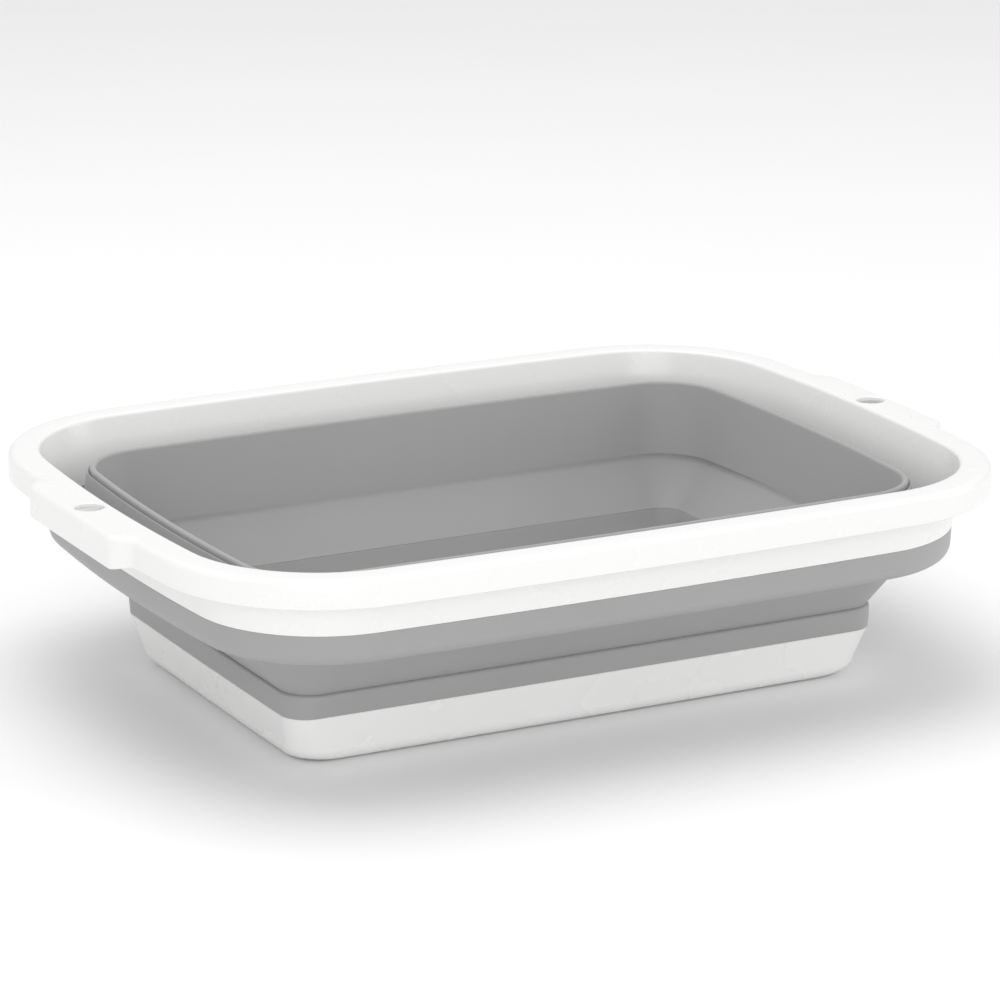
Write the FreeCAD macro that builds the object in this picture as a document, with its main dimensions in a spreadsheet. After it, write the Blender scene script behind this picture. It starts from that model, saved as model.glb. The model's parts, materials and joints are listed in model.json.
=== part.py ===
"""Collapsible wash tub for a pet: hard rim and base joined by a soft folding wall.

The tub stands half raised.  +Z is up, X runs along the long side, and the origin is the
middle of the underside.  Every ring of the tub follows an outline of four gently bowed
sides and four rounded corners; a ring's section comes from insetting such outlines.
All lengths are in millimetres.
"""

import FreeCAD, Part
import math
import os

import Sketcher

SHEET_NAME = "Sizes"

# Driving dimensions: alias, value and what the value sets.
DIMENSIONS = [
    ("rim_length", 398.0, "rim along X, between the middles of its short sides"),
    ("rim_width", 305.5, "rim along Y, between the middles of its long sides"),
    ("rim_corner", 74.0, "plan radius of the rim's corners"),
    ("rim_long_bow", 3700.0, "radius of the rim's bowed long sides"),
    ("rim_short_bow", 1050.0, "radius of the rim's bowed short sides"),
    ("rim_top", 100.0, "height of the rim's top as the tub stands"),
    ("rim_skin", 2.4, "wall of the rim moulding"),
    ("rim_edge", 3.1, "rounding along the rim's top outer edge"),
    ("mouth_edge", 1.6, "rounding along the rim's top inner edge"),
    ("flange_width", 13.8, "flat top of the rim, outer edge to mouth"),
    ("apron_depth", 12.3, "outer skirt of the rim, measured down from the top"),
    ("collar_depth", 28.5, "inner wall of the rim, measured down from the top"),
    ("collar_draft", 5.4, "how far the collar leans in from top to bottom"),
    ("handle_out", 5.5, "outer face of a handle, out from the middle of the rim's short side"),
    ("handle_length", 100.0, "handle along the short side"),
    ("handle_depth", 14.5, "skirt round a handle, measured down from the top"),
    ("handle_root", 17.0, "depth of a handle along X, partly inside the flange"),
    ("handle_corner", 6.0, "plan radius of a handle's outer corners"),
    ("handle_blend", 5.0, "hollow radius where a handle runs into the rim"),
    ("hang_hole", 6.5, "radius of the hanging hole in each handle"),
    ("hang_hole_set", 10.0, "hanging hole's centre, in from the handle's outer face"),
    ("tongue_skin", 1.0, "thickness of the lips that key the hard parts to the soft wall"),
    ("tongue_length", 5.0, "how far each lip reaches into the soft wall"),
    ("tongue_cover", 0.7, "soft material over the outer side of a lip"),
    ("shoulder_bottom", 57.0, "underside of the soft shoulder below the collar"),
    ("shoulder_reach", 10.5, "how far the shoulder curls in under the tub's mouth"),
    ("shoulder_drop", 7.0, "upright part of the shoulder, below the collar"),
    ("shoulder_lean", 0.6, "how far the upright part of the shoulder leans in"),
    ("fold_climb", 2.2, "how far the upper fold's outer side runs level before it climbs"),
    ("fold_climb_rise", 0.9, "height that the outer side gains over that run"),
    ("fold_turn", 4.2, "how far in the upper fold's inner side turns to climb"),
    ("fold_turn_rise", 1.6, "height of that turn above the shoulder's underside"),
    ("fold_top_drop", 3.0, "upper fold's end, below the crest"),
    ("soft_skin", 2.4, "wall of the soft rings"),
    ("fold_skin", 1.8, "thinner wall of the two folding stretches"),
    ("body_gap", 0.3, "clearance between a folding stretch and the ring that it moves from"),
    ("crest_set_x", 36.0, "middle ring's crest, in from the rim's edge along X"),
    ("crest_set_y", 41.25, "middle ring's crest, in from the rim's edge along Y"),
    ("crest_corner", 32.0, "plan radius of the middle ring's corners"),
    ("crest_long_bow", 6000.0, "radius of the middle ring's long sides"),
    ("crest_short_bow", 1100.0, "radius of the middle ring's short sides"),
    ("crest_top", 91.0, "height of the middle ring's crest"),
    ("crest_round", 1.1, "rounding along both edges of the crest"),
    ("ring_bottom", 56.0, "lower edge of the middle ring"),
    ("ring_taper", 2.0, "how far the middle ring narrows from crest to lower edge"),
    ("ridge_set_x", 18.5, "ridge above the base, in from the crest along X"),
    ("ridge_set_y", 17.65, "ridge above the base, in from the crest along Y"),
    ("ridge_corner", 15.0, "plan radius of the ridge's corners"),
    ("ridge_long_bow", 16000.0, "radius of the ridge's long sides"),
    ("ridge_short_bow", 8000.0, "radius of the ridge's short sides"),
    ("ridge_top", 33.4, "height of the ridge"),
    ("ridge_lip", 1.4, "ridge's top, from its outer edge to the lower fold"),
    ("ridge_round", 1.3, "rounding along the ridge's outer edge"),
    ("pan_set_x", 0.75, "base pan's mouth, in from the ridge along X"),
    ("pan_set_y", 2.0, "base pan's mouth, in from the ridge along Y"),
    ("pan_corner", 12.0, "plan radius of the pan's mouth corners"),
    ("pan_top", 22.7, "height of the base pan's mouth"),
    ("pan_skin", 2.4, "wall and floor of the base pan"),
    ("pan_draft", 4.0, "how far the pan's wall leans in from mouth to floor"),
    ("foot_corner", 14.0, "plan radius of the pan's wall corners, low down"),
    ("toe_corner", 20.0, "plan radius of the corners of the pan's flat underside"),
    ("foot_round", 8.0, "rounding between the pan's wall and its underside"),
    ("floor_round", 5.5, "rounding between the pan's wall and its floor, inside"),
]

# The shoulder's curl: share of its reach, and height above its underside, of each bend.
OUTER_CURL = [(0.3, 3.2), (0.62, 0.9)]
INNER_CURL = [(0.5, 4.6), (0.72, 2.9)]
# Level thickness of the lower fold, as a share of its thickness square to its slope.
FOLD_LEAN = 1.25
# Distances shorter than this count as the same place.
SAME_PLACE = 0.05
# Straight steps that a rounded section is made of.
ROUND_STEPS = 5

doc = FreeCAD.newDocument("CollapsibleTub")
sizes = doc.addObject("Spreadsheet::Sheet", SHEET_NAME)
for row, (alias, value, meaning) in enumerate(DIMENSIONS, start=1):
    sizes.set(f"A{row}", meaning)
    sizes.set(f"B{row}", str(value))
    sizes.setAlias(f"B{row}", alias)
doc.recompute()


def size(formula):
    """Turns names of the sheet's cells into an expression that FreeCAD can bind."""
    words = formula.replace("(", " ( ").replace(")", " ) ").split()
    aliases = {alias for alias, _, _ in DIMENSIONS}
    return " ".join(f"{SHEET_NAME}.{word}" if word in aliases else word for word in words)


def number(formula):
    """Works out a formula of the sheet's cells as a plain number."""
    return float(sizes.evalExpression(size(formula)))


class Outline:
    """A closed plan outline: four bowed sides that run smoothly into four round corners."""

    def __init__(self, length, width, corner, long_bow, short_bow):
        self.length = length
        self.width = width
        self.corner = corner
        self.long_bow = long_bow
        self.short_bow = short_bow

    def inset(self, distance):
        """The same outline, moved in everywhere by a distance given as a formula."""
        return Outline(
            f"{self.length} - 2 * ( {distance} )",
            f"{self.width} - 2 * ( {distance} )",
            f"{self.corner} - ( {distance} )",
            f"{self.long_bow} - ( {distance} )",
            f"{self.short_bow} - ( {distance} )",
        )


CREST_LENGTH = "rim_length - 2 * crest_set_x"
CREST_WIDTH = "rim_width - 2 * crest_set_y"
RIDGE_LENGTH = f"{CREST_LENGTH} - 2 * ridge_set_x"
RIDGE_WIDTH = f"{CREST_WIDTH} - 2 * ridge_set_y"
PAN_LENGTH = f"{RIDGE_LENGTH} - 2 * pan_set_x"
PAN_WIDTH = f"{RIDGE_WIDTH} - 2 * pan_set_y"

RIM = Outline("rim_length", "rim_width", "rim_corner", "rim_long_bow", "rim_short_bow")
CREST = Outline(CREST_LENGTH, CREST_WIDTH, "crest_corner", "crest_long_bow", "crest_short_bow")
RIDGE = Outline(RIDGE_LENGTH, RIDGE_WIDTH, "ridge_corner", "ridge_long_bow", "ridge_short_bow")
PAN = Outline(PAN_LENGTH, PAN_WIDTH, "pan_corner", "ridge_long_bow", "ridge_short_bow")
FOOT = Outline(
    f"{PAN_LENGTH} - 2 * pan_draft",
    f"{PAN_WIDTH} - 2 * pan_draft",
    "foot_corner",
    "ridge_long_bow",
    "ridge_short_bow",
)

APRON_BOTTOM = "rim_top - apron_depth"
COLLAR_BOTTOM = "rim_top - collar_depth"
HANDLE_BOTTOM = "rim_top - handle_depth"
HANDLE_REACH = "rim_length / 2 + handle_out"
COLLAR_INSET = "flange_width + collar_draft - rim_skin"
SHOULDER_END = f"{COLLAR_INSET} + shoulder_reach"


def new_body(label):
    """Starts a sub-part: a body whose label is the name of its file."""
    body = doc.addObject("PartDesign::Body", label)
    body.Label = label
    body.Placement = FreeCAD.Placement()
    return body


def level_sketch(body, name, level):
    """Attaches a sketch to the body's own horizontal plane, raised to a level."""
    sketch = body.newObject("Sketcher::SketchObject", f"{body.Label}_{name}")
    plane = next(item for item in body.Origin.OriginFeatures if item.Role == "XY_Plane")
    sketch.AttachmentSupport = [(plane, "")]
    sketch.MapMode = "FlatFace"
    sketch.setExpression("AttachmentOffset.Base.z", size(level))
    return sketch


def bind(sketch, constraint, formula):
    """Adds a dimension to a sketch and ties it to the sheet."""
    index = sketch.addConstraint(constraint)
    sketch.setExpression(f"Constraints[{index}]", size(formula))


def corner_centre(outline):
    """Centre of the corner arc that touches both neighbouring sides from inside."""
    radius = number(outline.corner)
    side_x = number(outline.length) / 2 - number(outline.short_bow)
    side_y = number(outline.width) / 2 - number(outline.long_bow)
    to_short = number(outline.short_bow) - radius
    to_long = number(outline.long_bow) - radius
    apart = math.hypot(side_x, side_y)
    along = (to_short**2 - to_long**2 + apart**2) / (2 * apart)
    across = math.sqrt(to_short**2 - along**2)
    x = side_x - (along * side_x + across * side_y) / apart
    y = (along * side_y - across * side_x) / apart
    return x, y


def draw_outline(sketch, outline):
    """Draws an outline as eight tangent arcs, fully constrained by the sheet."""
    radius = number(outline.corner)
    bows = (number(outline.short_bow), number(outline.long_bow))
    side_x = number(outline.length) / 2 - bows[0]
    side_y = number(outline.width) / 2 - bows[1]
    corner_x, corner_y = corner_centre(outline)
    short_end = math.atan2(corner_y, corner_x - side_x)
    long_end = math.atan2(corner_y - side_y, corner_x)
    half_turn = math.pi
    arcs = [
        (side_x, 0, bows[0], -short_end, short_end),
        (corner_x, corner_y, radius, short_end, long_end),
        (0, side_y, bows[1], long_end, half_turn - long_end),
        (-corner_x, corner_y, radius, half_turn - long_end, half_turn - short_end),
        (-side_x, 0, bows[0], half_turn - short_end, half_turn + short_end),
        (-corner_x, -corner_y, radius, half_turn + short_end, half_turn + long_end),
        (0, -side_y, bows[1], half_turn + long_end, 2 * half_turn - long_end),
        (corner_x, -corner_y, radius, -long_end, -short_end),
    ]
    first = sketch.GeometryCount
    for x, y, arc_radius, start, end in arcs:
        circle = Part.Circle(FreeCAD.Vector(x, y, 0), FreeCAD.Vector(0, 0, 1), arc_radius)
        sketch.addGeometry(Part.ArcOfCircle(circle, start, end), False)
    right, top, left, bottom = first, first + 2, first + 4, first + 6
    count = len(arcs)
    joins = [(first + i, 2, first + (i + 1) % count, 1) for i in range(count)]
    sketch.addConstraint([Sketcher.Constraint("Tangent", *join) for join in joins])
    axes = [(right, 3, -1), (left, 3, -1), (top, 3, -2), (bottom, 3, -2)]
    sketch.addConstraint([Sketcher.Constraint("PointOnObject", *axis) for axis in axes])
    alike = [(first + 1, first + i) for i in (3, 5, 7)] + [(right, left), (top, bottom)]
    sketch.addConstraint([Sketcher.Constraint("Equal", *pair) for pair in alike])
    radii = [(first + 1, outline.corner), (right, outline.short_bow), (top, outline.long_bow)]
    for arc, formula in radii:
        bind(sketch, Sketcher.Constraint("Radius", arc, number(formula)), formula)
    offsets = [
        ("DistanceX", right, 3, -1, 1, f"{outline.short_bow} - ( {outline.length} ) / 2"),
        ("DistanceX", -1, 1, left, 3, f"{outline.short_bow} - ( {outline.length} ) / 2"),
        ("DistanceY", top, 3, -1, 1, f"{outline.long_bow} - ( {outline.width} ) / 2"),
        ("DistanceY", -1, 1, bottom, 3, f"{outline.long_bow} - ( {outline.width} ) / 2"),
    ]
    for kind, start, start_point, end, end_point, formula in offsets:
        place = (start, start_point, end, end_point)
        bind(sketch, Sketcher.Constraint(kind, *place, number(formula)), formula)


def outline_sketch(body, name, level, *outlines):
    """A sketch at one level that holds one or more outlines."""
    sketch = level_sketch(body, name, level)
    for outline in outlines:
        draw_outline(sketch, outline)
    return sketch


def draw_handle(sketch, side, margin):
    """Draws a handle's plan: a rounded rectangle on one side, in by a margin."""
    reach = f"{HANDLE_REACH} - ( {margin} )"
    depth = f"handle_root - ( {margin} )"
    length = f"handle_length - 2 * ( {margin} )"
    corner = f"handle_corner - ( {margin} )"
    radius = number(corner)
    outer = side * number(reach)
    inner = side * (number(reach) - number(depth))
    half = number(length) / 2
    low, high = min(inner, outer), max(inner, outer)
    lines = [
        ((high, radius - half), (high, half - radius)),
        ((high - radius, half), (low + radius, half)),
        ((low, half - radius), (low, radius - half)),
        ((low + radius, -half), (high - radius, -half)),
    ]
    centres = [
        (high - radius, half - radius),
        (low + radius, half - radius),
        (low + radius, radius - half),
        (high - radius, radius - half),
    ]
    quarter = math.pi / 2
    for turn, (line, centre) in enumerate(zip(lines, centres)):
        start, end = (FreeCAD.Vector(x, y, 0) for x, y in line)
        sketch.addGeometry(Part.LineSegment(start, end), False)
        circle = Part.Circle(FreeCAD.Vector(*centre, 0), FreeCAD.Vector(0, 0, 1), radius)
        arc = Part.ArcOfCircle(circle, turn * quarter, (turn + 1) * quarter)
        sketch.addGeometry(arc, False)
    count = sketch.GeometryCount
    joins = [(i, 2, (i + 1) % count, 1) for i in range(count)]
    sketch.addConstraint([Sketcher.Constraint("Tangent", *join) for join in joins])
    for line, direction in ((0, "Vertical"), (2, "Horizontal"), (4, "Vertical"), (6, "Horizontal")):
        sketch.addConstraint(Sketcher.Constraint(direction, line))
    sketch.addConstraint([Sketcher.Constraint("Equal", 1, arc) for arc in (3, 5, 7)])
    bind(sketch, Sketcher.Constraint("Radius", 1, radius), corner)
    outer_line = (-1, 1, 0, 1) if side > 0 else (4, 1, -1, 1)
    bind(sketch, Sketcher.Constraint("DistanceX", *outer_line, number(reach)), reach)
    bind(sketch, Sketcher.Constraint("DistanceX", 4, 1, 0, 1, number(depth)), depth)
    bind(sketch, Sketcher.Constraint("DistanceY", 6, 1, 2, 1, number(length)), length)
    bind(sketch, Sketcher.Constraint("DistanceY", -1, 1, 2, 1, half), f"( {length} ) / 2")


def extrude(body, kind, name, sketch, depth, upward=True):
    """Pads or pockets a sketch by a depth, up or down."""
    feature = body.newObject(f"PartDesign::{kind}", f"{body.Label}_{name}")
    feature.Profile = sketch
    feature.Reversed = upward if kind == "Pocket" else not upward
    feature.setExpression("Length", size(depth))
    doc.recompute()
    return feature


def loft(body, kind, name, sections):
    """Lofts straight walls through outlines, each given with its level."""
    sketches = [
        outline_sketch(body, f"{name}{index}", level, outline)
        for index, (outline, level) in enumerate(sections)
    ]
    feature = body.newObject(f"PartDesign::{kind}", f"{body.Label}_{name}")
    feature.Profile = sketches[0]
    feature.Sections = [(sketch, [""]) for sketch in sketches[1:]]
    feature.Ruled = True
    doc.recompute()
    return feature


def level_face(shape, level):
    """The flat face of a shape at a level: the largest, where there are several."""
    height = number(level)
    flat = [
        face
        for face in shape.Faces
        if abs(face.BoundBox.ZMin - height) < SAME_PLACE
        and abs(face.BoundBox.ZMax - height) < SAME_PLACE
    ]
    return max(flat, key=lambda face: face.Area)


def outer_edges(level):
    """A picker for the outer edges of the flat face at a level."""
    return lambda shape: level_face(shape, level).OuterWire.Edges


def inner_edges(level):
    """A picker for the edges of the largest hole in the flat face at a level."""

    def pick(shape):
        face = level_face(shape, level)
        holes = [wire for wire in face.Wires if not wire.isSame(face.OuterWire)]
        return max(holes, key=lambda wire: wire.Length).Edges

    return pick


def round_edges(body, name, pick, radius):
    """Rounds the edges that a picker finds on the body's last feature."""
    base = body.Tip
    picked = pick(base.Shape)
    names = [
        f"Edge{index}"
        for index, edge in enumerate(base.Shape.Edges, start=1)
        if any(edge.isSame(other) for other in picked)
    ]
    feature = body.newObject("PartDesign::Fillet", f"{body.Label}_{name}")
    feature.Base = (base, names)
    feature.setExpression("Radius", size(radius))
    doc.recompute()
    return feature


def handle_roots(shape):
    """The upright edges in the hollows where the handles leave the rim."""
    half = number("handle_length") / 2
    seam = number(HANDLE_REACH) - number("handle_corner")
    upright = [
        edge
        for edge in shape.Edges
        if abs(edge.BoundBox.DiagonalLength - number("apron_depth")) < SAME_PLACE
    ]
    return [
        edge
        for edge in upright
        if abs(abs(edge.CenterOfMass.y) - half) < SAME_PLACE
        and abs(edge.CenterOfMass.x) < seam - SAME_PLACE
    ]


def make_rim_frame():
    """Hard rim: flange, skirt and collar in one, with a handle on each short side."""
    body = new_body("rim_frame")
    flange = outline_sketch(body, "flange", APRON_BOTTOM, RIM)
    extrude(body, "Pad", "Flange", flange, "apron_depth")
    for side, name in ((-1, "left"), (1, "right")):
        plan = level_sketch(body, f"{name}_handle", APRON_BOTTOM)
        draw_handle(plan, side, "0")
        extrude(body, "Pad", f"{name}_Handle", plan, "apron_depth")
    round_edges(body, "HandleBlend", handle_roots, "handle_blend")
    round_edges(body, "TopEdge", outer_edges("rim_top"), "rim_edge")
    for side, name in ((-1, "left"), (1, "right")):
        plan = level_sketch(body, f"{name}_skirt", HANDLE_BOTTOM)
        draw_handle(plan, side, "0")
        extrude(body, "Pad", f"{name}_Skirt", plan, "handle_depth - apron_depth")
        plan = level_sketch(body, f"{name}_hollow", HANDLE_BOTTOM)
        draw_handle(plan, side, "rim_skin")
        extrude(body, "Pocket", f"{name}_Hollow", plan, "handle_depth - rim_skin")
    channel = outline_sketch(body, "channel", HANDLE_BOTTOM, RIM.inset("rim_skin"))
    extrude(body, "Pocket", "Channel", channel, "handle_depth - rim_skin")
    collar = [
        (RIM.inset(COLLAR_INSET), COLLAR_BOTTOM),
        (RIM.inset("flange_width - rim_skin"), "rim_top - rim_skin / 2"),
    ]
    loft(body, "AdditiveLoft", "Collar", collar)
    mouth = [
        (RIM.inset(f"{COLLAR_INSET} + rim_skin"), COLLAR_BOTTOM),
        (RIM.inset("flange_width"), "rim_top"),
    ]
    loft(body, "SubtractiveLoft", "Mouth", mouth)
    round_edges(body, "MouthEdge", inner_edges("rim_top"), "mouth_edge")
    lip_outer = RIM.inset(f"{COLLAR_INSET} + tongue_cover")
    lip_inner = RIM.inset(f"{COLLAR_INSET} + tongue_cover + tongue_skin")
    lip = outline_sketch(body, "lip", COLLAR_BOTTOM, lip_outer, lip_inner)
    extrude(body, "Pad", "Lip", lip, "tongue_length", upward=False)
    for side, name in ((-1, "left"), (1, "right")):
        plan = level_sketch(body, f"{name}_hang_hole", "rim_top")
        place = number(f"{HANDLE_REACH} - hang_hole_set")
        centre = FreeCAD.Vector(side * place, 0, 0)
        plan.addGeometry(Part.Circle(centre, FreeCAD.Vector(0, 0, 1), number("hang_hole")))
        plan.addConstraint(Sketcher.Constraint("PointOnObject", 0, 3, -1))
        bind(plan, Sketcher.Constraint("Radius", 0, number("hang_hole")), "hang_hole")
        run = (-1, 1, 0, 3) if side > 0 else (0, 3, -1, 1)
        bind(plan, Sketcher.Constraint("DistanceX", *run, place), f"{HANDLE_REACH} - hang_hole_set")
        extrude(body, "Pocket", f"{name}_HangHole", plan, "apron_depth", upward=False)
    return body


def curl(bends):
    """Sections of the shoulder at the bends of its curl."""
    return [
        (RIM.inset(f"{COLLAR_INSET} + shoulder_reach * {share}"), f"shoulder_bottom + {height}")
        for share, height in bends
    ]


def make_shoulder_ring():
    """Soft shoulder below the collar: it curls in under the mouth as a gutter's outer half."""
    body = new_body("shoulder_ring")
    outer = [
        (RIM.inset(COLLAR_INSET), COLLAR_BOTTOM),
        (RIM.inset(f"{COLLAR_INSET} + shoulder_lean"), f"{COLLAR_BOTTOM} - shoulder_drop"),
        *curl(OUTER_CURL),
        (RIM.inset(SHOULDER_END), "shoulder_bottom"),
    ]
    loft(body, "AdditiveLoft", "Curl", outer)
    inner = [
        (RIM.inset(f"{COLLAR_INSET} + soft_skin"), COLLAR_BOTTOM),
        (
            RIM.inset(f"{COLLAR_INSET} + soft_skin + shoulder_lean"),
            f"{COLLAR_BOTTOM} - shoulder_drop",
        ),
        *curl(INNER_CURL),
        (RIM.inset(SHOULDER_END), "shoulder_bottom + soft_skin"),
    ]
    loft(body, "SubtractiveLoft", "Gutter", inner)
    opening = outline_sketch(body, "opening", "shoulder_bottom", RIM.inset(SHOULDER_END))
    extrude(body, "Pocket", "Opening", opening, "soft_skin")
    lip_outer = RIM.inset(f"{COLLAR_INSET} + tongue_cover")
    lip_inner = RIM.inset(f"{COLLAR_INSET} + tongue_cover + tongue_skin")
    slot = outline_sketch(body, "slot", COLLAR_BOTTOM, lip_outer, lip_inner)
    extrude(body, "Pocket", "LipSlot", slot, "tongue_length", upward=False)
    return body


def make_upper_fold():
    """Thin folding stretch from the gutter's bottom up to the crest's outer side."""
    body = new_body("upper_fold")
    start = f"{SHOULDER_END} + body_gap"
    head = "crest_top - fold_top_drop"
    outer = [
        (RIM.inset(start), "shoulder_bottom"),
        (RIM.inset(start), "shoulder_bottom + soft_skin"),
        (RIM.inset(f"{start} + fold_climb"), "shoulder_bottom + soft_skin + fold_climb_rise"),
        (CREST.inset("0 - fold_skin"), head),
    ]
    loft(body, "AdditiveLoft", "Outer", outer)
    inner = [
        (RIM.inset(f"{start} + fold_climb"), "shoulder_bottom"),
        (RIM.inset(f"{start} + fold_turn"), "shoulder_bottom + fold_turn_rise"),
        (CREST, head),
    ]
    loft(body, "SubtractiveLoft", "Inner", inner)
    return body


def make_middle_ring():
    """Soft middle ring: stiff enough to stand, with the crest as its upper edge."""
    body = new_body("middle_ring")
    outer = [(CREST.inset("ring_taper"), "ring_bottom"), (CREST, "crest_top")]
    loft(body, "AdditiveLoft", "Outer", outer)
    inner = [
        (CREST.inset("ring_taper + soft_skin"), "ring_bottom"),
        (CREST.inset("soft_skin"), "crest_top"),
    ]
    loft(body, "SubtractiveLoft", "Inner", inner)
    round_edges(body, "CrestOuter", outer_edges("crest_top"), "crest_round")
    round_edges(body, "CrestInner", inner_edges("crest_top"), "crest_round")
    return body


def make_lower_fold():
    """Thin folding stretch that slopes from the middle ring in to the ridge."""
    body = new_body("lower_fold")
    lean = f"fold_skin * {FOLD_LEAN}"
    outer = [
        (RIDGE.inset("ridge_lip"), "ridge_top"),
        (CREST.inset("ring_taper"), "ring_bottom - body_gap"),
    ]
    loft(body, "AdditiveLoft", "Outer", outer)
    inner = [
        (RIDGE.inset(f"ridge_lip + {lean}"), "ridge_top"),
        (CREST.inset(f"ring_taper + {lean}"), "ring_bottom - body_gap"),
    ]
    loft(body, "SubtractiveLoft", "Inner", inner)
    return body


def make_lower_band():
    """Soft band around the base pan's mouth, with the ridge as its upper edge."""
    body = new_body("lower_band")
    loft(body, "AdditiveLoft", "Outer", [(PAN, "pan_top"), (RIDGE, "ridge_top")])
    inner = [
        (PAN.inset("tongue_cover + tongue_skin + soft_skin"), "pan_top"),
        (RIDGE.inset("ridge_lip + soft_skin"), "ridge_top"),
    ]
    loft(body, "SubtractiveLoft", "Inner", inner)
    round_edges(body, "Ridge", outer_edges("ridge_top"), "ridge_round")
    lip_outer = PAN.inset("tongue_cover")
    lip_inner = PAN.inset("tongue_cover + tongue_skin")
    slot = outline_sketch(body, "slot", "pan_top", lip_outer, lip_inner)
    extrude(body, "Pocket", "LipSlot", slot, "tongue_length")
    return body


def quarter_round(outline, radius, bottom):
    """Sections that round a wall into a flat bottom, with wider corners lower down."""
    sections = []
    for step in range(ROUND_STEPS):
        angle = math.pi / 2 * step / ROUND_STEPS
        inward = f"{1 - math.sin(angle):.4f}"
        upward = f"{1 - math.cos(angle):.4f}"
        section = outline.inset(f"{radius} * {inward}")
        section.corner = f"{outline.corner} + ( toe_corner - foot_corner ) * {inward}"
        sections.append((section, f"{bottom} + {radius} * {upward}"))
    return sections


def make_base_pan():
    """Hard base pan: the tub's floor and foot, with a lip up into the soft band."""
    body = new_body("base_pan")
    outer = quarter_round(FOOT, "foot_round", "0") + [(PAN, "pan_top")]
    loft(body, "AdditiveLoft", "Outer", outer)
    inner = quarter_round(FOOT.inset("pan_skin"), "floor_round", "pan_skin")
    inner.append((PAN.inset("pan_skin"), "pan_top"))
    loft(body, "SubtractiveLoft", "Inner", inner)
    lip_outer = PAN.inset("tongue_cover")
    lip_inner = PAN.inset("tongue_cover + tongue_skin")
    lip = outline_sketch(body, "lip", "pan_top", lip_outer, lip_inner)
    extrude(body, "Pad", "Lip", lip, "tongue_length")
    return body


MAKERS = [
    make_base_pan,
    make_lower_band,
    make_lower_fold,
    make_middle_ring,
    make_upper_fold,
    make_shoulder_ring,
    make_rim_frame,
]


def check_and_export(bodies):
    """Stops on any failed object or unsound shape, then writes one file per sub-part."""
    failed = [item.Name for item in doc.Objects if {"Invalid", "Error"} & set(item.State)]
    if failed:
        raise RuntimeError(f"failed objects: {failed}")
    for body in bodies:
        shape = body.Shape
        if shape.isNull() or not shape.isValid() or len(shape.Solids) != 1:
            raise RuntimeError(f"{body.Label} is not one sound solid")
    os.makedirs("parts", exist_ok=True)
    for body in bodies:
        body.Shape.exportStep(f"parts/{body.Label}.step")
        box = body.Shape.BoundBox
        extent = f"{box.XLength:.2f} x {box.YLength:.2f} x {box.ZLength:.2f}"
        print(f"{body.Label}: {extent} mm, {body.Shape.Volume / 1000:.1f} cm3")


finished = [make() for make in MAKERS]
doc.recompute()
check_and_export(finished)
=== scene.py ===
"""Collapsible pet bathtub: the visible pieces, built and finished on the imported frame.

Lengths are in metres, +Z is up, X runs along the tub's long side, and the origin is the
middle of the underside.  Every piece is a section carried round a bowed outline.
"""

import json
import logging
import math
from collections.abc import Callable, Sequence
from dataclasses import dataclass, replace
from enum import Enum
from functools import cache, cached_property

import bmesh
import bpy
from mathutils import Matrix, Vector


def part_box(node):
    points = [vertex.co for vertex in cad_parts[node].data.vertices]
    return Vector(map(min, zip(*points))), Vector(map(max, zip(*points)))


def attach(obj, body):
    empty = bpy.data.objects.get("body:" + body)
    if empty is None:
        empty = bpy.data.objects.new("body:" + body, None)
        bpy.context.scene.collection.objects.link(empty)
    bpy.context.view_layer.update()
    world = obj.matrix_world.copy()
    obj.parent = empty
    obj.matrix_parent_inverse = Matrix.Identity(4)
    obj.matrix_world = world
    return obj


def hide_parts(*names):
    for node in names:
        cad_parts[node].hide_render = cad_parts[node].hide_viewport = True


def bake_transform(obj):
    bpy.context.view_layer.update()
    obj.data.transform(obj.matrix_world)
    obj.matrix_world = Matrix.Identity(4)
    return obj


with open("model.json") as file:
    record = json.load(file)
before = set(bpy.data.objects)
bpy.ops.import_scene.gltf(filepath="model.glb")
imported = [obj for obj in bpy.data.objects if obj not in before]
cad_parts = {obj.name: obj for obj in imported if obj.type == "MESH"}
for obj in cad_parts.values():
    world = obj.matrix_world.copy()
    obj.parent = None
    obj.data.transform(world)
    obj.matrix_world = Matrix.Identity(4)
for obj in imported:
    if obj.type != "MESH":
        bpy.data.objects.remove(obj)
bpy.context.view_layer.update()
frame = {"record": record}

LOG = logging.getLogger("pet_bathtub")
MM = 0.001
# Half a turn short of straight, in radians, that a section's corner has to bend to be rounded.
LEAST_BEND = 0.02
# Longest stretch of a section's side that one corner's rounding may take up.
LONGEST_REACH = 0.49
# Share of the band's height within which a point of its section counts as at the split.
SPLIT_MARGIN = 0.01


class Body(Enum):
    """The bodies of the tub that move apart."""

    BASE = "base"
    MIDDLE = "middle"
    RIM = "rim"


class Slot(Enum):
    """The record's material slots."""

    HARD = "white_hard"
    SOFT = "grey_soft"


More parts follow.
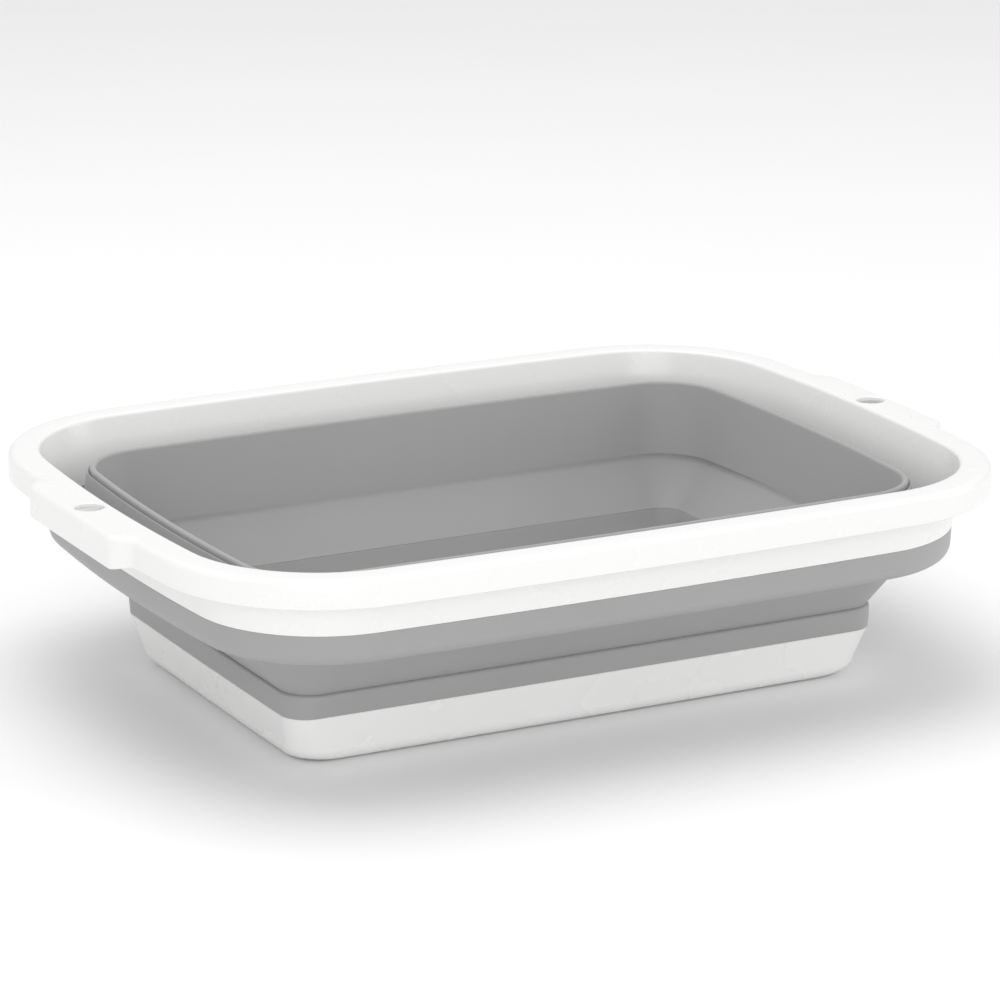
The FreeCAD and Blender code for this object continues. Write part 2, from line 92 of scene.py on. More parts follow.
@dataclass(frozen=True)
class Outline:
    """A plan outline of four bowed sides that run smoothly into four round corners."""

    length: float
    width: float
    corner: float
    long_bow: float
    short_bow: float

    def inset(self, distance: float) -> "Outline":
        """The same outline, moved in everywhere by a distance.

        Args:
            distance: How far inwards, in metres; below zero moves it out.

        Returns:
            The moved outline.
        """
        return Outline(
            self.length - 2 * distance,
            self.width - 2 * distance,
            max(self.corner - distance, MM),
            self.long_bow - distance,
            self.short_bow - distance,
        )

    def mixed(self, other: "Outline", share: float) -> "Outline":
        """An outline part of the way to another.

        Args:
            other: The outline at a share of one.
            share: How far to go towards it.

        Returns:
            The outline in between.
        """
        mine, theirs = vars(self), vars(other)
        return Outline(**{key: mine[key] * (1 - share) + theirs[key] * share for key in mine})

    def corner_centre(self) -> tuple[float, float]:
        """Centre of the corner arc that touches both neighbouring sides from inside.

        Returns:
            The centre's place in the first quarter.
        """
        side_x = self.length / 2 - self.short_bow
        side_y = self.width / 2 - self.long_bow
        to_short = self.short_bow - self.corner
        to_long = self.long_bow - self.corner
        apart = math.hypot(side_x, side_y)
        along = (to_short**2 - to_long**2 + apart**2) / (2 * apart)
        across = math.sqrt(max(to_short**2 - along**2, 0.0))
        x = side_x - (along * side_x + across * side_y) / apart
        y = (along * side_y - across * side_x) / apart
        return x, y

    def points(self, steps: "Steps") -> list[tuple[float, float]]:
        """Points round the outline, against the clock.

        Args:
            steps: How many points each stretch gets.

        Returns:
            The points, first one not repeated.
        """
        side_x = self.length / 2 - self.short_bow
        side_y = self.width / 2 - self.long_bow
        corner_x, corner_y = self.corner_centre()
        short_end = math.atan2(corner_y, corner_x - side_x)
        long_end = math.atan2(corner_y - side_y, corner_x)
        half_turn = math.pi
        arcs = [
            (side_x, 0.0, self.short_bow, -short_end, short_end, steps.short_side),
            (corner_x, corner_y, self.corner, short_end, long_end, steps.corner),
            (0.0, side_y, self.long_bow, long_end, half_turn - long_end, steps.long_side),
            (-corner_x, corner_y, self.corner, half_turn - long_end, half_turn - short_end, steps.corner),
            (-side_x, 0.0, self.short_bow, half_turn - short_end, half_turn + short_end, steps.short_side),
            (-corner_x, -corner_y, self.corner, half_turn + short_end, half_turn + long_end, steps.corner),
            (0.0, -side_y, self.long_bow, half_turn + long_end, 2 * half_turn - long_end, steps.long_side),
            (corner_x, -corner_y, self.corner, -long_end, -short_end, steps.corner),
        ]
        places = []
        for x, y, radius, start, end, count in arcs:
            for index in range(count):
                angle = start + (end - start) * index / count
                places.append((x + radius * math.cos(angle), y + radius * math.sin(angle)))
        return places


@dataclass(frozen=True)
class Steps:
    """How finely an outline is divided."""

    short_side: int = 28
    long_side: int = 40
    corner: int = 20


@dataclass(frozen=True)
class Ring:
    """One level of a carried section: its outline, its height and its inset."""

    outline: Outline
    height: float
    inset: float = 0.0


@dataclass(frozen=True)
class Turn:
    """One corner of a section: its inset, its height and how it is rounded."""

    inset: float
    height: float
    rounding: float = 0.0


def rounded_section(turns: Sequence[Turn], steps: int = 6) -> list[tuple[float, float]]:
    """Rounds the corners of a closed section with arcs.

    Args:
        turns: The section's corners in order, in metres.
        steps: Straight steps in each arc.

    Returns:
        Points of (inset, height) along the rounded section.
    """
    section: list[tuple[float, float]] = []
    count = len(turns)
    for index, turn in enumerate(turns):
        here = Vector((turn.inset, turn.height))
        if turn.rounding <= 0:
            section.append(tuple(here))
            continue
        before = turns[index - 1]
        after = turns[(index + 1) % count]
        back = Vector((before.inset, before.height)) - here
        ahead = Vector((after.inset, after.height)) - here
        half = back.angle(ahead) / 2
        if math.pi / 2 - half < LEAST_BEND:
            section.append(tuple(here))
            continue
        longest = min(back.length * LONGEST_REACH, ahead.length * LONGEST_REACH)
        reach = min(turn.rounding / math.tan(half), longest)
        radius = reach * math.tan(half)
        start, end = here + back.normalized() * reach, here + ahead.normalized() * reach
        inward = (back.normalized() + ahead.normalized()).normalized()
        middle = here + inward * (radius / math.sin(half))
        sweep = (start - middle).angle_signed(end - middle)
        for step in range(steps + 1):
            arm = start - middle
            arm.rotate(Matrix.Rotation(-sweep * step / steps, 2))
            section.append(tuple(middle + arm))
    return section


def link(name: str, mesh: bpy.types.Mesh) -> bpy.types.Object:
    """Puts a mesh into the scene as a named piece.

    Args:
        name: The piece's name.
        mesh: Its mesh.

    Returns:
        The new object.
    """
    piece = bpy.data.objects.new(name, mesh)
    bpy.context.scene.collection.objects.link(piece)
    return piece


def shade(mesh: bpy.types.Mesh, sharp_degrees: float = 38.0) -> None:
    """Shades a mesh smooth, with creases left where it turns hard.

    Args:
        mesh: The mesh to shade.
        sharp_degrees: Turns beyond this stay creased.
    """
    mesh.shade_smooth()
    mesh.set_sharp_from_angle(angle=math.radians(sharp_degrees))


def levels(
    section: Sequence[tuple[float, float]], outline_at: Callable[[float], Outline]
) -> list[Ring]:
    """Gives each point of a section its outline.

    Args:
        section: Points of (inset, height).
        outline_at: Gives the outline for an inset.

    Returns:
        The rings, in the section's order.
    """
    return [Ring(outline_at(inset), height, inset) for inset, height in section]


def carried_section(
    name: str,
    section: Sequence[Ring],
    steps: Steps,
    move: Callable[[Vector, float], Vector] | None = None,
    cup: bool = False,
) -> bpy.types.Object:
    """Joins rings into one closed piece.

    Args:
        name: The piece's name.
        section: The rings, in order.
        steps: How finely each outline is divided.
        move: Shifts a point, given its place and its ring's inset.
        cup: Closes the first and last rings with flat floors, in place of joining them.

    Returns:
        The piece, smooth shaded.
    """
    build = bmesh.new()
    rings = []
    for level in section:
        ring = []
        for x, y in level.outline.points(steps):
            place = Vector((x, y, level.height))
            ring.append(build.verts.new(move(place, level.inset) if move else place))
        rings.append(ring)
    pairs = list(zip(rings, rings[1:]))
    if not cup:
        pairs.append((rings[-1], rings[0]))
    for ring, following in pairs:
        for index in range(len(ring)):
            after = (index + 1) % len(ring)
            build.faces.new((ring[index], ring[after], following[after], following[index]))
    if cup:
        for ring in (rings[0], rings[-1]):
            build.faces.new(ring)
    bmesh.ops.recalc_face_normals(build, faces=build.faces)
    mesh = bpy.data.meshes.new(name)
    build.to_mesh(mesh)
    build.free()
    shade(mesh)
    return link(name, mesh)


@dataclass(frozen=True)
class Finish:
    """A moulded finish: colour drift, roughness drift, fine grain and rubbed edges."""

    name: str
    colour: tuple[float, float, float]
    worn_colour: tuple[float, float, float]
    roughness: float
    roughness_drift: float
    grain_size: float
    grain_height: float
    coat: float = 0.0
    sheen: float = 0.0
    coat_roughness: float = 0.12
    sheen_roughness: float = 0.6
    drift_scale: float = 9.0
    drift_detail: float = 5.0
    drift_band: tuple[float, float] = (0.35, 0.75)
    drift_share: float = 0.35
    rub_band: tuple[float, float] = (0.52, 0.62)
    rub_share: float = 0.45
    smear_scale: float = 22.0
    smear_detail: float = 7.0
    smear_band: tuple[float, float] = (0.3, 0.7)
    grain_detail: float = 3.0
    grain_strength: float = 0.35

    def material(self) -> bpy.types.Material:
        """The finish as a node material.

        Returns:
            The material, made on first use.
        """
        found = bpy.data.materials.get(self.name)
        if found:
            return found
        material = bpy.data.materials.new(self.name)
        material.use_nodes = True
        nodes, links = material.node_tree.nodes, material.node_tree.links
        nodes.clear()
        output = nodes.new("ShaderNodeOutputMaterial")
        shader = nodes.new("ShaderNodeBsdfPrincipled")
        place = nodes.new("ShaderNodeTexCoord")
        links.new(shader.outputs["BSDF"], output.inputs["Surface"])
        shader.inputs["Coat Weight"].default_value = self.coat
        shader.inputs["Coat Roughness"].default_value = self.coat_roughness
        shader.inputs["Sheen Weight"].default_value = self.sheen
        shader.inputs["Sheen Roughness"].default_value = self.sheen_roughness

        drift = nodes.new("ShaderNodeTexNoise")
        drift.inputs["Scale"].default_value = self.drift_scale
        drift.inputs["Detail"].default_value = self.drift_detail
        links.new(place.outputs["Object"], drift.inputs["Vector"])
        tint = nodes.new("ShaderNodeMix")
        tint.data_type = "RGBA"
        tint.inputs["A"].default_value = (*self.colour, 1)
        tint.inputs["B"].default_value = (*self.worn_colour, 1)
        share = nodes.new("ShaderNodeMapRange")
        share.inputs["From Min"].default_value = self.drift_band[0]
        share.inputs["From Max"].default_value = self.drift_band[1]
        share.inputs["To Max"].default_value = self.drift_share
        links.new(drift.outputs["Fac"], share.inputs["Value"])
        edge = nodes.new("ShaderNodeNewGeometry")
        rub = nodes.new("ShaderNodeMapRange")
        rub.inputs["From Min"].default_value = self.rub_band[0]
        rub.inputs["From Max"].default_value = self.rub_band[1]
        rub.inputs["To Max"].default_value = self.rub_share
        links.new(edge.outputs["Pointiness"], rub.inputs["Value"])
        both = nodes.new("ShaderNodeMath")
        both.operation = "MAXIMUM"
        links.new(share.outputs["Result"], both.inputs[0])
        links.new(rub.outputs["Result"], both.inputs[1])
        links.new(both.outputs["Value"], tint.inputs["Factor"])
        links.new(tint.outputs["Result"], shader.inputs["Base Color"])

        smear = nodes.new("ShaderNodeTexNoise")
        smear.inputs["Scale"].default_value = self.smear_scale
        smear.inputs["Detail"].default_value = self.smear_detail
        links.new(place.outputs["Object"], smear.inputs["Vector"])
        gloss = nodes.new("ShaderNodeMapRange")
        gloss.inputs["From Min"].default_value = self.smear_band[0]
        gloss.inputs["From Max"].default_value = self.smear_band[1]
        gloss.inputs["To Min"].default_value = self.roughness - self.roughness_drift
        gloss.inputs["To Max"].default_value = self.roughness + self.roughness_drift
        links.new(smear.outputs["Fac"], gloss.inputs["Value"])
        links.new(gloss.outputs["Result"], shader.inputs["Roughness"])

        grain = nodes.new("ShaderNodeTexNoise")
        grain.inputs["Scale"].default_value = 1.0 / self.grain_size
        grain.inputs["Detail"].default_value = self.grain_detail
        links.new(place.outputs["Object"], grain.inputs["Vector"])
        bump = nodes.new("ShaderNodeBump")
        bump.inputs["Strength"].default_value = self.grain_strength
        bump.inputs["Distance"].default_value = self.grain_height
        links.new(grain.outputs["Fac"], bump.inputs["Height"])
        links.new(bump.outputs["Normal"], shader.inputs["Normal"])
        return material


HARD_WHITE = Finish(
    name="gloss_white_moulding",
    colour=(0.86, 0.86, 0.855),
    worn_colour=(0.845, 0.845, 0.838),
    roughness=0.27,
    roughness_drift=0.03,
    grain_size=0.0007,
    grain_height=0.00001,
    coat=0.25,
)
SOFT_GREY = Finish(
    name="matte_grey_rubber",
    colour=(0.335, 0.335, 0.335),
    worn_colour=(0.385, 0.385, 0.383),
    roughness=0.52,
    roughness_drift=0.06,
    grain_size=0.0009,
    grain_height=0.00005,
    sheen=0.12,
)
PALE_FLOOR = Finish(
    name="pale_floor",
    colour=(0.92, 0.92, 0.92),
    worn_colour=(0.90, 0.90, 0.90),
    roughness=0.8,
    roughness_drift=0.03,
    grain_size=0.01,
    grain_height=0.00002,
)


def dress(piece: bpy.types.Object, finish: Finish, slot: Slot, *nodes: str) -> bpy.types.Object:
    """Gives a piece its finish and hides the CAD nodes that it replaces.

    Args:
        piece: The piece.
        finish: Its finish.
        slot: The record's slot for it; not used.
        nodes: CAD nodes that the piece replaces.

    Returns:
        The same piece.
    """
    piece.data.materials.clear()
    piece.data.materials.append(finish.material())
    if nodes:
        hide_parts(*nodes)
    LOG.info("%s: %d faces", piece.name, len(piece.data.polygons))
    return piece


@cache
def corners(node: str) -> tuple[Vector, Vector]:
    """Lowest and highest corners of a CAD node's box, looked up once."""
    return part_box(node)


def box_size(node: str) -> tuple[float, float]:
    """Length and width of a CAD node's box.

    Args:
        node: The node's name.

    Returns:
        Its size along X and Y.
    """
    low, high = corners(node)
    return high.x - low.x, high.y - low.y


@dataclass(frozen=True)
class TubOutlines:
    """The plan outlines that the tub's pieces share, read from the frame."""

    collar_inset: float = 16.8 * MM
    rim_corner: float = 74.0 * MM
    rim_long_bow: float = 3.7
    rim_short_bow: float = 1.05
    crest_corner: float = 32.0 * MM
    crest_long_bow: float = 6.0
    crest_short_bow: float = 1.1
    ridge_corner: float = 15.0 * MM
    foot_corner: float = 14.0 * MM
    toe_corner: float = 20.0 * MM
    pan_corner: float = 12.0 * MM
    pan_draft: float = 4.0 * MM
    low_long_bow: float = 16.0
    low_short_bow: float = 8.0

    @cached_property
    def rim(self) -> Outline:
        """The rim's outer edge, without its handles.

        Returns:
            The outline at the rim's skirt.
        """
        length, width = box_size("shoulder_ring")
        grown = 2 * self.collar_inset
        bows = (self.rim_long_bow, self.rim_short_bow)
        return Outline(length + grown, width + grown, self.rim_corner, *bows)

    @property
    def crest(self) -> Outline:
        """The middle ring's outer edge at its crest."""
        length, width = box_size("middle_ring")
        return Outline(length, width, self.crest_corner, self.crest_long_bow, self.crest_short_bow)

    @property
    def ridge(self) -> Outline:
        """The lower band's outer edge at the ridge."""
        length, width = box_size("lower_band")
        return Outline(length, width, self.ridge_corner, self.low_long_bow, self.low_short_bow)

    @property
    def pan(self) -> Outline:
        """The base pan's outer edge at its mouth."""
        length, width = box_size("base_pan")
        return Outline(length, width, self.pan_corner, self.low_long_bow, self.low_short_bow)

    @property
    def foot(self) -> Outline:
        """The base pan's wall, carried down to the floor."""
        return replace(self.pan.inset(self.pan_draft), corner=self.foot_corner)


@dataclass
class RimFrame:
    """Hard rim: flange, skirt and collar, with a handle on each short side."""

    outlines: TubOutlines
    steps: Steps = Steps(short_side=170, long_side=60, corner=26)
    skin: float = 2.4 * MM
    top_round: float = 3.2 * MM
    mouth_round: float = 1.8 * MM
    flange_width: float = 13.8 * MM
    apron_depth: float = 12.3 * MM
    handle_depth: float = 14.5 * MM
    handle_length: float = 100.0 * MM
    handle_end: float = 12.0 * MM
    fade_start: float = 6.0 * MM
    fade_end: float = 10.5 * MM
    handle_end_share: float = 0.42
    skirt_round: float = 0.7 * MM
    channel_round: float = 1.2 * MM
    collar_round: float = 0.35 * MM
    lip_round: float = 0.2 * MM
    hole_chamfer: float = 0.6 * MM
    hole_steps: int = 64

    def section(self) -> list[tuple[float, float]]:
        """The rim's section, from the mouth's edge over the top and round.

        Returns:
            Points of (inset, height).
        """
        top = corners("rim_frame")[1].z
        collar_bottom = corners("shoulder_ring")[1].z
        apron_bottom = top - self.apron_depth
        collar = self.outlines.collar_inset
        turns = [
            Turn(self.flange_width, top, self.mouth_round),
            Turn(0.0, top, self.top_round),
            Turn(0.0, apron_bottom, self.skirt_round),
            Turn(self.skin, apron_bottom, self.skirt_round),
            Turn(self.skin, top - self.skin, self.channel_round),
            Turn(self.flange_width - self.skin, top - self.skin, self.channel_round),
            Turn(collar, collar_bottom, self.collar_round),
            Turn(collar + self.skin, collar_bottom, self.lip_round),
        ]
        return rounded_section(turns)

    def handle_share(self, y: float) -> float:
        """How far out the rim's edge runs at a place along a short side.

        Args:
            y: The place.

        Returns:
            From 0 at the rim to 1 at the handle's outer face.
        """
        start = self.handle_length / 2 + self.handle_end * self.handle_end_share
        share = min(max((start - abs(y)) / self.handle_end, 0.0), 1.0)
        return share * share * (3 - 2 * share)

    def with_handles(self, place: Vector, inset: float) -> Vector:
        """Moves a point of the rim's outer part out to the handle, and its skirt down.

        Args:
            place: The point.
            inset: How far in from the rim's edge it is.

        Returns:
            The moved point.
        """
        rim = self.outlines.rim
        if abs(place.x) < rim.length / 4:
            return place
        top = corners("rim_frame")[1].z
        edge = rim.short_bow - math.sqrt(rim.short_bow**2 - place.y**2)
        reach = corners("rim_frame")[1].x - rim.length / 2 + edge
        fade = (self.fade_end - inset) / (self.fade_end - self.fade_start)
        share = self.handle_share(place.y) * min(max(fade, 0.0), 1.0)
        upright = (top - self.top_round - place.z) / (self.apron_depth - self.top_round)
        down = (self.handle_depth - self.apron_depth) * share * max(upright, 0.0)
        return Vector((place.x + math.copysign(reach * share, place.x), place.y, place.z - down))

    def hole_cutter(self, name: str, centre: Vector, radius: float) -> bpy.types.Object:
        """A turned cutter for a hanging hole, flared at both faces of the plate.

        Args:
            name: The cutter's name.
            centre: Middle of the hole.
            radius: The hole's radius.

        Returns:
            The cutter, to be removed after use.
        """
        top = corners("rim_frame")[1].z
        low = top - self.skin
        flare = self.hole_chamfer
        profile = [
            (radius + flare * 3, low - flare * 2),
            (radius, low + flare),
            (radius, top - flare),
            (radius + flare * 3, top + flare * 2),
        ]
        build = bmesh.new()
        count = self.hole_steps
        rings = [
            [
                build.verts.new(
                    (
                        centre.x + wide * math.cos(2 * math.pi * index / count),
                        centre.y + wide * math.sin(2 * math.pi * index / count),
                        height,
                    )
                )
                for index in range(count)
            ]
            for wide, height in profile
        ]
        for ring, following in zip(rings, rings[1:]):
            for index in range(count):
                after = (index + 1) % count
                build.faces.new((ring[index], ring[after], following[after], following[index]))
        build.faces.new(rings[0])
        build.faces.new(rings[-1])
        bmesh.ops.recalc_face_normals(build, faces=build.faces)
        mesh = bpy.data.meshes.new(name)
        build.to_mesh(mesh)
        build.free()
        return link(name, mesh)

    def build(self) -> bpy.types.Object:
        """Builds the rim, cuts its hanging holes and dresses it.

        Returns:
            The rim, which rides on its own body.
        """
        rings = levels(self.section(), self.outlines.rim.inset)
        piece = carried_section("hard_rim", rings, self.steps, move=self.with_handles)
        for mount in frame["record"]["mounts"]:
            if mount["kind"] != "bore":
                continue
            cutter = self.hole_cutter("cutter", Vector(mount["pos_m"]), mount["dims"]["r_mm"] * MM)
            cut = piece.modifiers.new("hole", "BOOLEAN")
            cut.operation = "DIFFERENCE"
            cut.solver = "EXACT"
            cut.object = cutter
            graph = bpy.context.evaluated_depsgraph_get()
            mesh = bpy.data.meshes.new_from_object(piece.evaluated_get(graph))
            piece.modifiers.clear()
            piece.data = mesh
            bpy.data.objects.remove(cutter)
        shade(piece.data)
        dress(piece, HARD_WHITE, Slot.HARD, "rim_frame")
        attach(piece, Body.RIM.value)
        return piece


@dataclass
class SoftWall:
    """Soft folding wall: shoulder, upper fold, middle ring, lower fold and lower band."""

    outlines: TubOutlines
    steps: Steps = Steps()
    skin: float = 2.4 * MM
    fold_skin: float = 1.8 * MM
    reach: float = 10.5 * MM
    ring_taper: float = 2.0 * MM
    ridge_round: float = 1.4 * MM
    hinge_drop: float = 2.5 * MM
    hinge_round: float = 7.0 * MM
    shoulder_edge: float = 0.3 * MM
    shoulder_lean: float = 0.6 * MM
    shoulder_lift: float = 1.5 * MM
    shoulder_round: float = 7.5 * MM
    gutter_lean: float = 0.8 * MM
    gutter_lift: float = 1.3 * MM
    gutter_round: float = 5.2 * MM
    climb_share: float = 0.26
    climb_share_inner: float = 0.22
    climb_lift: float = 0.1 * MM
    climb_round: float = 5.0 * MM
    climb_round_inner: float = 3.5 * MM
    fold_head: float = 1.2 * MM
    fold_head_round: float = 0.6 * MM
    fold_lean: float = 1.25
    crest_round: float = 1.3 * MM
    crest_lean: float = 0.4 * MM
    band_wall: float = 4.1 * MM
    band_split: float = 0.45
    band_inner_round: float = 0.8 * MM
    band_lip_set: float = 0.12 * MM
    band_lip_rise: float = 0.05 * MM
    band_lip_width: float = 0.3 * MM
    steep: float = 3.0 * MM

    def shoulder(self) -> bpy.types.Object:
        """The ring below the collar, curled in to the gutter's bottom.

        Returns:
            The finished piece.
        """
        low, high = corners("shoulder_ring")
        start = self.outlines.collar_inset
        turns = [
            Turn(start, high.z, self.shoulder_edge),
            Turn(start + self.shoulder_lean, low.z + self.shoulder_lift, self.shoulder_round),
            Turn(start + self.reach, low.z, 0.0),
            Turn(start + self.reach, low.z + self.skin, 0.0),
            Turn(
                start + self.skin + self.gutter_lean,
                low.z + self.skin + self.gutter_lift,
                self.gutter_round,
            ),
            Turn(start + self.skin, high.z, self.shoulder_edge),
        ]
        rings = levels(rounded_section(turns, steps=10), self.outlines.rim.inset)
        piece = carried_section("soft_shoulder", rings, self.steps)
        dress(piece, SOFT_GREY, Slot.SOFT, "shoulder_ring")
        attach(piece, Body.RIM.value)
        return piece

    def upper_fold(self) -> bpy.types.Object:
        """The thin stretch that turns inside out between the gutter and the crest.

        Returns:
            The finished piece.
        """
        low, high = corners("upper_fold")
        inner_edge = self.outlines.rim.inset(self.outlines.collar_inset + self.reach)
        crest = self.outlines.crest
        run = (inner_edge.width - crest.width) / 2

        def outline_at(distance: float) -> Outline:
            """The outline at a distance in from the gutter's bottom."""
            return inner_edge.mixed(crest, distance / run)

        turns = [
            Turn(0.0, low.z, 0.0),
            Turn(self.climb_share * run, low.z + self.climb_lift, self.climb_round),
            Turn(run, high.z, 0.0),
            Turn(run - self.fold_skin, high.z + self.fold_head, self.fold_head_round),
            Turn(
                self.climb_share_inner * run,
                low.z + self.skin + self.climb_lift,
                self.climb_round_inner,
            ),
            Turn(0.0, low.z + self.skin, 0.0),
        ]
        rings = levels(rounded_section(turns, steps=8), outline_at)
        piece = carried_section("soft_upper_fold", rings, self.steps)
        self.divide_upright(piece)
        dress(piece, SOFT_GREY, Slot.SOFT, "upper_fold")
        start, end = (0, 0, low.z + self.skin), (0, 0, high.z)
        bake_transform(piece)
        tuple(start)
        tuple(end)
        return piece

    def middle_ring(self) -> bpy.types.Object:
        """The upright ring with the crest along its top.

        Returns:
            The finished piece.
        """
        low, high = corners("middle_ring")
        turns = [
            Turn(0.0, high.z, self.crest_round),
            Turn(self.ring_taper, low.z, 0.0),
            Turn(self.ring_taper + self.skin, low.z, 0.0),
            Turn(self.skin + self.crest_lean, high.z, self.crest_round),
        ]
        rings = levels(rounded_section(turns, steps=8), self.outlines.crest.inset)
        piece = carried_section("soft_middle_ring", rings, self.steps)
        dress(piece, SOFT_GREY, Slot.SOFT, "middle_ring")
        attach(piece, Body.MIDDLE.value)
        return piece

    def lower_fold(self) -> bpy.types.Object:
        """The thin stretch that slopes from the middle ring in to the ridge.

        Returns:
            The finished piece.
        """
        low = corners("lower_fold")[0]
        ring_low = corners("middle_ring")[0]
        foot = self.outlines.ridge.inset(self.ridge_round)
        head = self.outlines.crest.inset(self.ring_taper)
        run = (head.width - foot.width) / 2
        skin = self.fold_skin * self.fold_lean

        def outline_at(distance: float) -> Outline:
            """The outline at a distance out from the ridge."""
            return foot.mixed(head, distance / run)

        bend = ring_low.z - self.hinge_drop
        turns = [
            Turn(0.0, low.z, 0.0),
            Turn(run, bend, self.hinge_round),
            Turn(run, ring_low.z, 0.0),
            Turn(run - self.skin, ring_low.z, 0.0),
            Turn(run - self.skin, bend, self.hinge_round),
            Turn(-skin, low.z, 0.0),
        ]
        rings = levels(rounded_section(turns, steps=8), outline_at)
        piece = carried_section("soft_lower_fold", rings, self.steps)
        self.divide_upright(piece)
        dress(piece, SOFT_GREY, Slot.SOFT, "lower_fold")
        start, end = (0, 0, low.z), (0, 0, ring_low.z)
        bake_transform(piece)
        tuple(start)
        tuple(end)
        return piece

    def lower_band(self) -> bpy.types.Object:
        """The band that grips the base pan, with the ridge along its top.

        Returns:
            The finished piece.
        """
        low, high = corners("lower_band")
        ridge, pan = self.outlines.ridge, self.outlines.pan
        tall = high.z - low.z
        split = high.z - tall * self.band_split
        section = rounded_section(
            [
                Turn(0.0, high.z, self.ridge_round),
                Turn(0.0, split, 0.0),
                Turn(self.band_wall, split, 0.0),
                Turn(self.ridge_round + self.skin, high.z, self.band_inner_round),
            ]
        )
        turn = next(i for i, point in enumerate(section) if point[1] < split + tall * SPLIT_MARGIN)
        edge = [
            (self.band_lip_set, low.z + self.band_lip_rise),
            (self.band_lip_width, low.z),
            (self.band_wall, low.z),
        ]
        rings = levels(section[: turn + 1], ridge.inset)
        rings += levels(edge, pan.inset)
        rings += levels(section[turn + 1 :], ridge.inset)
        piece = carried_section("soft_lower_band", rings, self.steps)
        dress(piece, SOFT_GREY, Slot.SOFT, "lower_band")
        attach(piece, Body.BASE.value)
        return piece

    def divide_upright(self, piece: bpy.types.Object, cuts: int = 5) -> None:
        """Divides a fold's long faces across their slope.

        Args:
            piece: The fold.
            cuts: Cuts across each long face.
        """
        build = bmesh.new()
        build.from_mesh(piece.data)
        build.edges.ensure_lookup_table()
        steep = [
            edge
            for edge in build.edges
            if abs(edge.verts[0].co.z - edge.verts[1].co.z) > self.steep
        ]
        bmesh.ops.subdivide_edges(build, edges=steep, cuts=cuts, use_grid_fill=True)
        build.to_mesh(piece.data)
        build.free()
        shade(piece.data)

    def build(self) -> list[bpy.types.Object]:
        """Builds every stretch of the wall, from the top down."""
        return [
            self.shoulder(),
            self.upper_fold(),
            self.middle_ring(),
            self.lower_fold(),
            self.lower_band(),
        ]


@dataclass
class BasePan:
    """Hard base pan: the tub's floor, wall and foot."""

    outlines: TubOutlines
    steps: Steps = Steps()
    skin: float = 2.4 * MM
    foot_round: float = 8.0 * MM
    floor_round: float = 5.5 * MM
    arc_steps: int = 10
    lip_set: float = 0.25 * MM
    mouth_set: float = 0.05 * MM
    mouth_drop: float = 0.2 * MM

    def rounded_foot(self, radius: float, skin: float) -> list[Ring]:
        """Rings that round the wall into the flat, with corners that widen lower down.

        Args:
            radius: The rounding.
            skin: How far in from the foot's outside, and up from it, the rounding lies.

        Returns:
            The rings, from the wall down to the flat.
        """
        foot = self.outlines.foot
        widening = self.outlines.toe_corner - self.outlines.foot_corner
        rings = []
        for step in range(self.arc_steps + 1):
            angle = math.pi / 2 * (1 - step / self.arc_steps)
            inward = 1 - math.sin(angle)
            corner = foot.corner - skin + widening * inward
            outline = replace(foot.inset(skin + radius * inward), corner=corner)
            rings.append(Ring(outline, skin + radius * (1 - math.cos(angle))))
        return rings

    def build(self) -> bpy.types.Object:
        """Builds the pan as a cup, from the floor up, over the mouth and down.

        Returns:
            The finished pan.
        """
        mouth = corners("lower_band")[0].z
        pan = self.outlines.pan
        lip = [(self.lip_set, mouth), (self.mouth_set, mouth - self.mouth_drop)]
        outer = levels(lip, pan.inset)
        outer += self.rounded_foot(self.foot_round, 0.0)
        inner = list(reversed(self.rounded_foot(self.floor_round, self.skin)))
        inner += levels([(self.skin, mouth)], pan.inset)
        piece = carried_section("hard_base_pan", inner + outer, self.steps, cup=True)
        dress(piece, HARD_WHITE, Slot.HARD, "base_pan")
        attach(piece, Body.BASE.value)
        return piece


@dataclass(frozen=True)
class Lamp:
    """A soft square lamp: where it stands, its side in metres and its power in watts."""

    name: str
    place: tuple[float, float, float]
    size: float
    power: float
    aim: tuple[float, float, float] = (0.0, 0.0, 0.05)


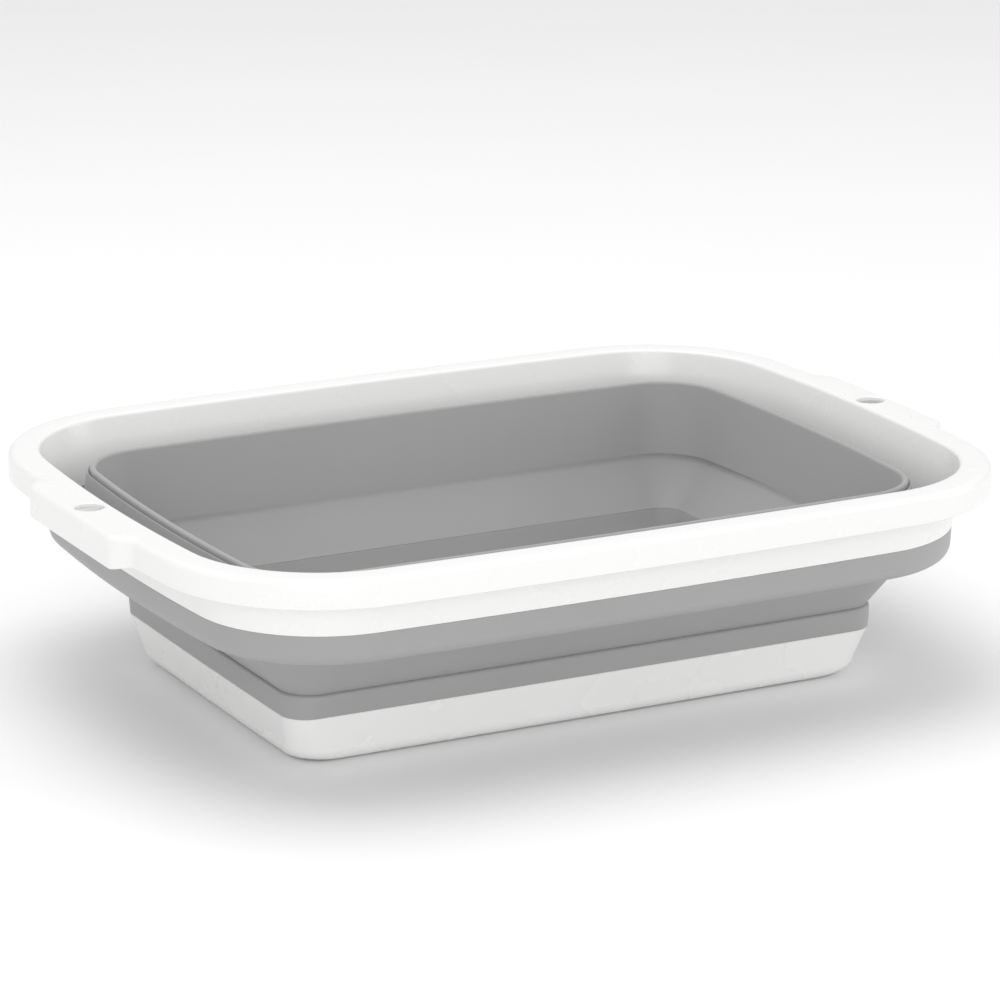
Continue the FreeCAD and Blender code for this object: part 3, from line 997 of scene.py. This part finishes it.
@dataclass
class Studio:
    """Plain pale floor, soft light and a camera at the usual angle."""

    azimuth: float = -27.45
    elevation: float = 15.96
    distance: float = 1.9876
    lens: float = 159.3
    slide: float = 1.29 * MM
    lift: float = 74.38 * MM
    sensor: float = 36.0
    floor_size: float = 8.0
    floor_cells: int = 8
    floor_drop: float = 0.2 * MM
    sky: float = 0.76
    lamps: tuple[Lamp, ...] = (
        Lamp("above", (-0.2, 0.3, 1.8), 1.6, 14.0),
        Lamp("front", (-0.9, -2.0, 0.5), 1.4, 13.0),
        Lamp("side", (1.9, -0.7, 0.7), 1.0, 6.0),
    )

    def camera(self) -> bpy.types.Object:
        """Makes the camera and sets it as the scene's.

        Returns:
            The camera.
        """
        across, up = math.radians(self.azimuth), math.radians(self.elevation)
        back = Vector((math.sin(across) * math.cos(up), -math.cos(across) * math.cos(up), math.sin(up)))
        right = Vector((math.cos(across), math.sin(across), 0))
        above = back.cross(right)
        data = bpy.data.cameras.new("camera")
        data.lens = self.lens
        data.sensor_width = self.sensor
        camera = bpy.data.objects.new("camera", data)
        bpy.context.scene.collection.objects.link(camera)
        turned = Matrix((right, above, back)).transposed().to_4x4()
        place = back * self.distance + right * self.slide + above * self.lift
        camera.matrix_world = Matrix.Translation(place) @ turned
        bpy.context.scene.camera = camera
        return camera

    def floor(self) -> bpy.types.Object:
        """A wide pale floor just under the tub.

        Returns:
            The floor, which is staging and no part of the tub.
        """
        build = bmesh.new()
        cells = self.floor_cells
        bmesh.ops.create_grid(build, x_segments=cells, y_segments=cells, size=self.floor_size)
        mesh = bpy.data.meshes.new("floor")
        build.to_mesh(mesh)
        build.free()
        floor = link("floor", mesh)
        floor.location.z = -self.floor_drop
        floor.data.materials.append(PALE_FLOOR.material())
        return floor

    def lamp(self, lamp: Lamp) -> None:
        """Adds a soft square lamp.

        Args:
            lamp: Its name, place, aim, side and power.
        """
        data = bpy.data.lights.new(lamp.name, "AREA")
        data.shape = "SQUARE"
        data.size = lamp.size
        data.energy = lamp.power
        body = bpy.data.objects.new(lamp.name, data)
        place = Vector(lamp.place)
        body.location = place
        body.rotation_mode = "QUATERNION"
        body.rotation_quaternion = (Vector(lamp.aim) - place).to_track_quat("-Z", "Y")
        bpy.context.scene.collection.objects.link(body)

    def light(self) -> None:
        """Sets an even white sky and three soft lamps."""
        world = bpy.data.worlds.new("studio")
        bpy.context.scene.world = world
        world.use_nodes = True
        background = world.node_tree.nodes["Background"]
        background.inputs["Color"].default_value = (1, 1, 1, 1)
        background.inputs["Strength"].default_value = self.sky
        for lamp in self.lamps:
            self.lamp(lamp)

    def build(self) -> None:
        """Builds the floor, the light and the camera."""
        self.floor()
        self.light()
        self.camera()
        bpy.context.scene.view_settings.view_transform = "Standard"


def main() -> None:
    """Builds the tub's pieces in order, then the studio."""
    logging.basicConfig(level=logging.INFO, format="%(name)s %(message)s")
    outlines = TubOutlines()
    pieces = [BasePan(outlines).build(), *SoftWall(outlines).build(), RimFrame(outlines).build()]
    Studio().build()


if __name__ == "__main__":
    main()
